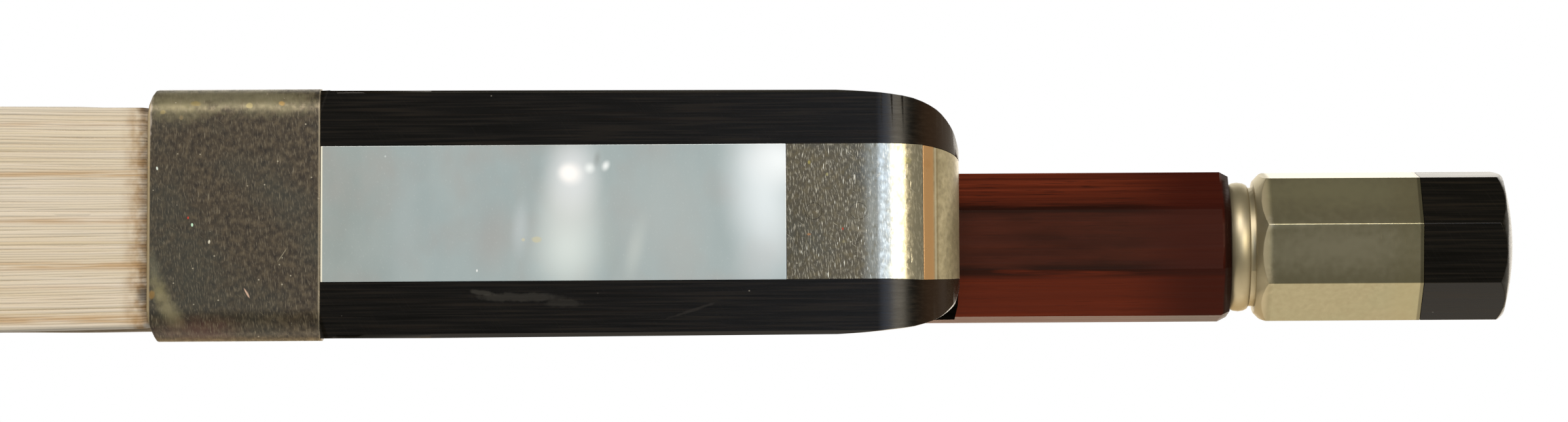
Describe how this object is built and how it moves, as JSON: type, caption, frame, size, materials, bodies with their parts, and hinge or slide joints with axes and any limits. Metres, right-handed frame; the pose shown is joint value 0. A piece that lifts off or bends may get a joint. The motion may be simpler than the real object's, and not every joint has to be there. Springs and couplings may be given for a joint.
{
  "type": "cello bow",
  "caption": "Cello bow: octagonal-handled cambered stick with a head, a ribbon of horsehair, a sliding ebony frog and a button whose screw draws the frog.",
  "frame": {"origin": "middle of the bow's length, on the plane that the ferrule, the frog's foot and the head's nose stand on", "axes": "+X along the stick from the head to the button, +Z from the hair to the stick, +Y across"},
  "size_m": [0.717, 0.0164, 0.0273],
  "materials": {
    "pernambuco": "dark red-brown, varnished and polished",
    "ebony": "black, oiled and polished",
    "tarnished_silver": "old silver with a brown-grey tarnish and scratches",
    "silver": "worn silver",
    "mother_of_pearl": "grey-blue nacre, polished",
    "bone": "polished bone",
    "brass": "turned and filed",
    "steel": "turned",
    "maple": "bare, cut with a knife",
    "horsehair": "white horsehair with rosin and brown dirt near the ferrule",
    "bound_hair": "hair bound with thread and sealed",
    "leather": "dark brown, fine grain"
  },
  "bodies": {
    "stick": {"stick": "pernambuco", "head_plate": "bone", "head_liner": "ebony", "head_plug": "maple", "head_hair_knot": "bound_hair", "hair_ribbon": "horsehair", "thumb_leather": "leather", "winding": "silver"},
    "frog": {"frog_body": "ebony", "ferrule": "tarnished_silver", "spread_wedge": "maple", "slide_pearl": "mother_of_pearl", "slide_backing": "ebony", "frog_plug": "maple", "frog_hair_knot": "bound_hair", "heel_plate": "tarnished_silver", "heel_back_plate": "silver", "heel_pin_front": "silver", "heel_pin_rear": "silver", "heel_pin_back": "silver", "underslide": "silver", "underslide_screw_front": "steel", "underslide_screw_rear": "steel", "eye_pearl_left": "mother_of_pearl", "eye_ring_left": "silver", "eye_pearl_right": "mother_of_pearl", "eye_ring_right": "silver", "eyelet": "brass"},
    "button": {"button_sleeve": "silver", "button_core": "ebony", "screw": "steel"}
  },
  "joints": [
    {"name": "button_turn", "type": "hinge", "parent": "stick", "child": "button", "pos_m": [0.3391, 0, 0.0215], "axis": [-1, 0, 0], "range_deg": [-2160, 1440]},
    {"name": "frog_slide", "type": "slide", "parent": "stick", "child": "frog", "axis": [1, 0, 0], "range_m": [-0.00485, 0.00325], "deforming": ["hair_ribbon"]}
  ],
  "couplings": [
    {"joint": "frog_slide", "follows": "button_turn", "m_per_rad": 0.00012732}
  ]
}
